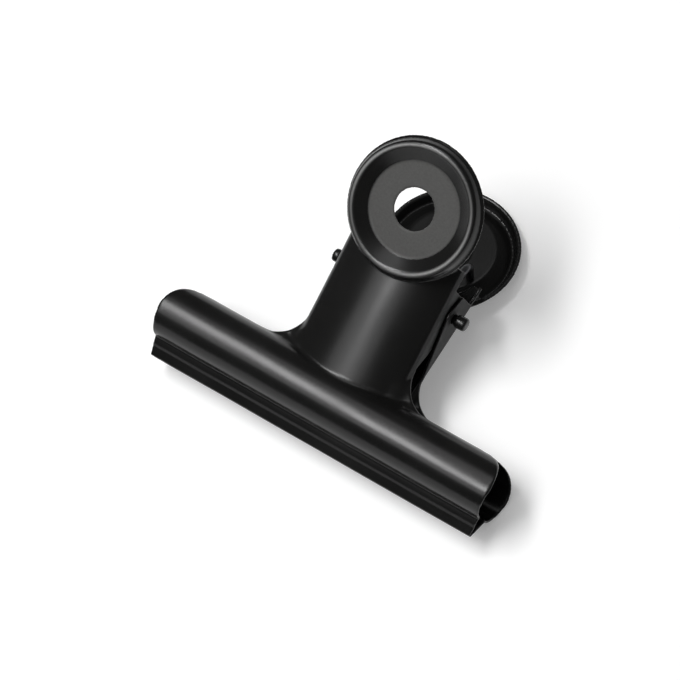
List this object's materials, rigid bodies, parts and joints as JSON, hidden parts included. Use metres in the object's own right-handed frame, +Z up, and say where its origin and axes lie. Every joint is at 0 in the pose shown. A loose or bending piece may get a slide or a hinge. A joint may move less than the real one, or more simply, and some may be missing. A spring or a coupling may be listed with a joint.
{
  "type": "bulldog clip",
  "caption": "Sprung bulldog clip: two pressed steel plates with rolled jaws and round dished grips, hinged on a headed pin and held shut by a wound spring.",
  "frame": {"origin": "centre of the overall box at its foot, where the clip lies on the roll and the grip bead of its rear plate", "axes": "+X along the jaws, +Y from the lips towards the grips, +Z up from the rear plate to the front plate"},
  "size_m": [0.076, 0.0646, 0.0423],
  "materials": {
    "black_enamel": "satin black enamel baked on steel",
    "spring_steel": "drawn spring wire, lightly oiled"
  },
  "bodies": {
    "rear_half": {"rear_plate": "black_enamel", "hinge_pin": "black_enamel", "torsion_spring": "spring_steel"},
    "front_half": {"front_plate": "black_enamel"}
  },
  "joints": [
    {"name": "jaw_hinge", "type": "hinge", "parent": "rear_half", "child": "front_half", "pos_m": [0, 0.00136, 0.01472], "axis": [-1, 0, 0], "range_deg": [0, 72], "stiffness_Nm_per_rad": 0.15, "springref_deg": -40.11, "deforming": ["torsion_spring"]}
  ]
}
